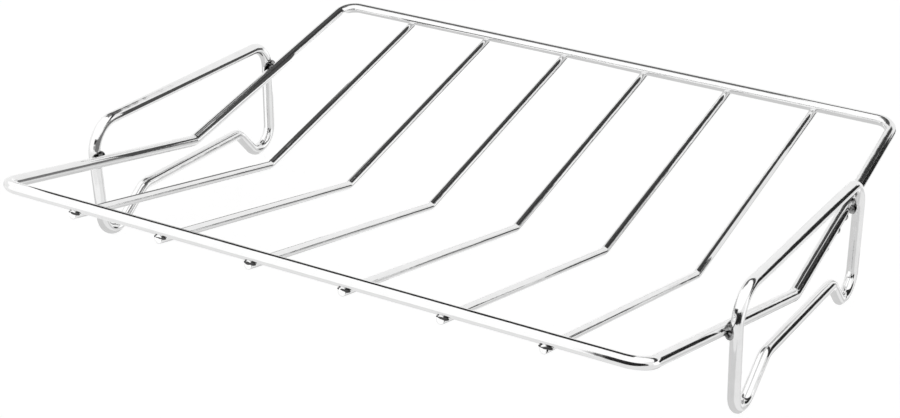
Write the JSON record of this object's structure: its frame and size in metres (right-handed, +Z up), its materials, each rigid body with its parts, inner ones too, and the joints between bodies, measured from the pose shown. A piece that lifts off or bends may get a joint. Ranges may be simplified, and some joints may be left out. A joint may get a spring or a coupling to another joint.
{
  "type": "roasting rack",
  "caption": "Wire roasting rack for an oven pan: a rim folded into a shallow V, cross wires under it and a wire loop at each side that is both handle and feet.",
  "frame": {"origin": "on the floor under the middle of the rack", "axes": "+X along the front rim towards the right side loop, +Y from the front rim to the back rim, +Z up"},
  "size_m": [0.3596, 0.3139, 0.0714],
  "materials": {
    "rim_chrome": "bright chrome plating",
    "cross_wire_chrome": "bright chrome plating",
    "side_loop_chrome": "bright chrome plating",
    "weld_bead_chrome": "plated weld metal, slightly rough"
  },
  "bodies": {
    "root": {"rim_wire": "rim_chrome", "cross_wire_1": "cross_wire_chrome", "cross_wire_2": "cross_wire_chrome", "cross_wire_3": "cross_wire_chrome", "cross_wire_4": "cross_wire_chrome", "cross_wire_5": "cross_wire_chrome", "cross_wire_6": "cross_wire_chrome", "left_side_loop": "side_loop_chrome", "right_side_loop": "side_loop_chrome", "left_front_weld_bead": "weld_bead_chrome", "left_back_weld_bead": "weld_bead_chrome", "right_front_weld_bead": "weld_bead_chrome", "right_back_weld_bead": "weld_bead_chrome"}
  },
  "joints": []
}
